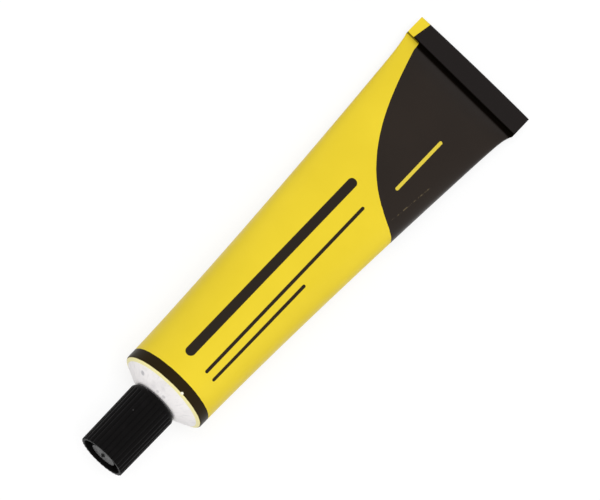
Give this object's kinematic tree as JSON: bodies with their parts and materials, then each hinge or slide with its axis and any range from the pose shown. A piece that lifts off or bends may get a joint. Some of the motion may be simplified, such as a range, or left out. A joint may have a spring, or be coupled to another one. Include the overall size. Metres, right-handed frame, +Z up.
{
  "type": "tube of glue",
  "caption": "Collapsible aluminium tube of glue, folded flat at one end, with a ribbed black screw cap that unscrews along the threaded nozzle.",
  "frame": {"origin": "on the ground, under the middle of the tube's bounding box", "axes": "+X along the tube from the cap to the end fold, +Y across it, +Z up, out of its front"},
  "size_m": [0.11, 0.0298, 0.0189],
  "materials": {
    "enamelled_aluminium": "satin",
    "bare_aluminium": "satin",
    "latex": "matte",
    "glue": "gloss",
    "black_plastic": "satin",
    "liner": "matte"
  },
  "bodies": {
    "tube": {"tube_body": "enamelled_aluminium", "nozzle_membrane": "bare_aluminium", "fold_sealant": "latex", "glue_fill": "glue"},
    "liner": {"cap_liner": "liner"},
    "cap": {"screw_cap": "black_plastic"}
  },
  "joints": [
    {"name": "cap_lift", "type": "slide", "parent": "tube", "child": "liner", "axis": [-0.9971, 0, 0.076], "range_m": [0, 0.012]},
    {"name": "cap_turn", "type": "hinge", "parent": "liner", "child": "cap", "pos_m": [-0.03998, 0, 0.00967], "axis": [-0.9971, 0, 0.076], "range_deg": [0, 2881]}
  ],
  "couplings": [
    {"joint": "cap_turn", "follows": "cap_lift", "rad_per_m": 4188.8}
  ]
}
